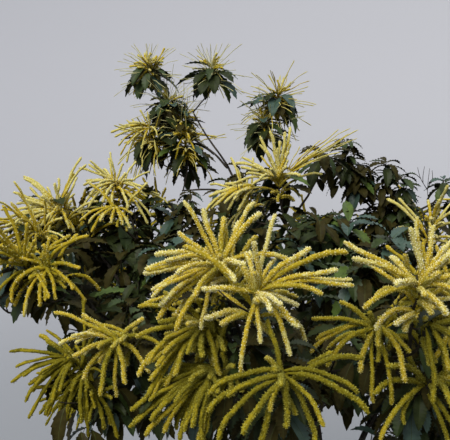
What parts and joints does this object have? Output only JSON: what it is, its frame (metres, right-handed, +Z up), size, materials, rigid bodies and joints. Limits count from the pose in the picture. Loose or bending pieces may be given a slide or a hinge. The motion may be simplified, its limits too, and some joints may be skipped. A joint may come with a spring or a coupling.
{
  "type": "sweet chestnut tree",
  "caption": "Young broad-topped sweet chestnut tree in flower, with a short leaning trunk, rising boughs and leafy shoots that end in bursts of long pale catkins.",
  "frame": {"origin": "centre of the flat cut under the trunk at ground level", "axes": "+Z up, +Y away from the side that the picture shows, +X to that side's right"},
  "size_m": [3.2824, 3.5178, 4.2257],
  "materials": {
    "bark": "matte furrowed grey-brown bark, smoother on the boughs",
    "leaf": "deep green with a soft sheen, paler midrib and veins",
    "blossom": "fluffy golden yellow to cream, thin and pale green where it is barely open"
  },
  "bodies": {
    "root": {"trunk": "bark", "bough_front": "bark", "bough_front_right": "bark", "bough_left_low": "bark", "bough_left_outer": "bark", "bough_left_upper": "bark", "bough_left_inner": "bark", "bough_middle": "bark", "bough_far_right": "bark", "bough_top_left": "bark", "bough_top_middle": "bark", "bough_top_right": "bark", "bough_top_low": "bark", "bough_outer_1": "bark", "bough_outer_2": "bark", "bough_outer_3": "bark", "bough_outer_4": "bark", "bough_outer_5": "bark", "bough_outer_6": "bark", "bough_outer_7": "bark", "bough_outer_8": "bark", "bough_inner_1": "bark", "bough_inner_2": "bark", "bough_lower_1": "bark", "bough_lower_2": "bark", "bough_lower_3": "bark", "bough_lower_4": "bark", "bough_lower_5": "bark", "bough_lower_6": "bark", "foliage_front": "leaf", "foliage_front_right": "leaf", "foliage_left_low": "leaf", "foliage_left_outer": "leaf", "foliage_left_upper": "leaf", "foliage_left_inner": "leaf", "foliage_middle": "leaf", "foliage_far_right": "leaf", "foliage_top_left": "leaf", "foliage_top_middle": "leaf", "foliage_top_right": "leaf", "foliage_top_low": "leaf", "foliage_outer_1": "leaf", "foliage_outer_2": "leaf", "foliage_outer_3": "leaf", "foliage_outer_4": "leaf", "foliage_outer_5": "leaf", "foliage_outer_6": "leaf", "foliage_outer_7": "leaf", "foliage_outer_8": "leaf", "foliage_inner_1": "leaf", "foliage_inner_2": "leaf", "foliage_lower_1": "leaf", "foliage_lower_2": "leaf", "foliage_lower_3": "leaf", "foliage_lower_4": "leaf", "foliage_lower_5": "leaf", "foliage_lower_6": "leaf"}
  },
  "joints": []
}
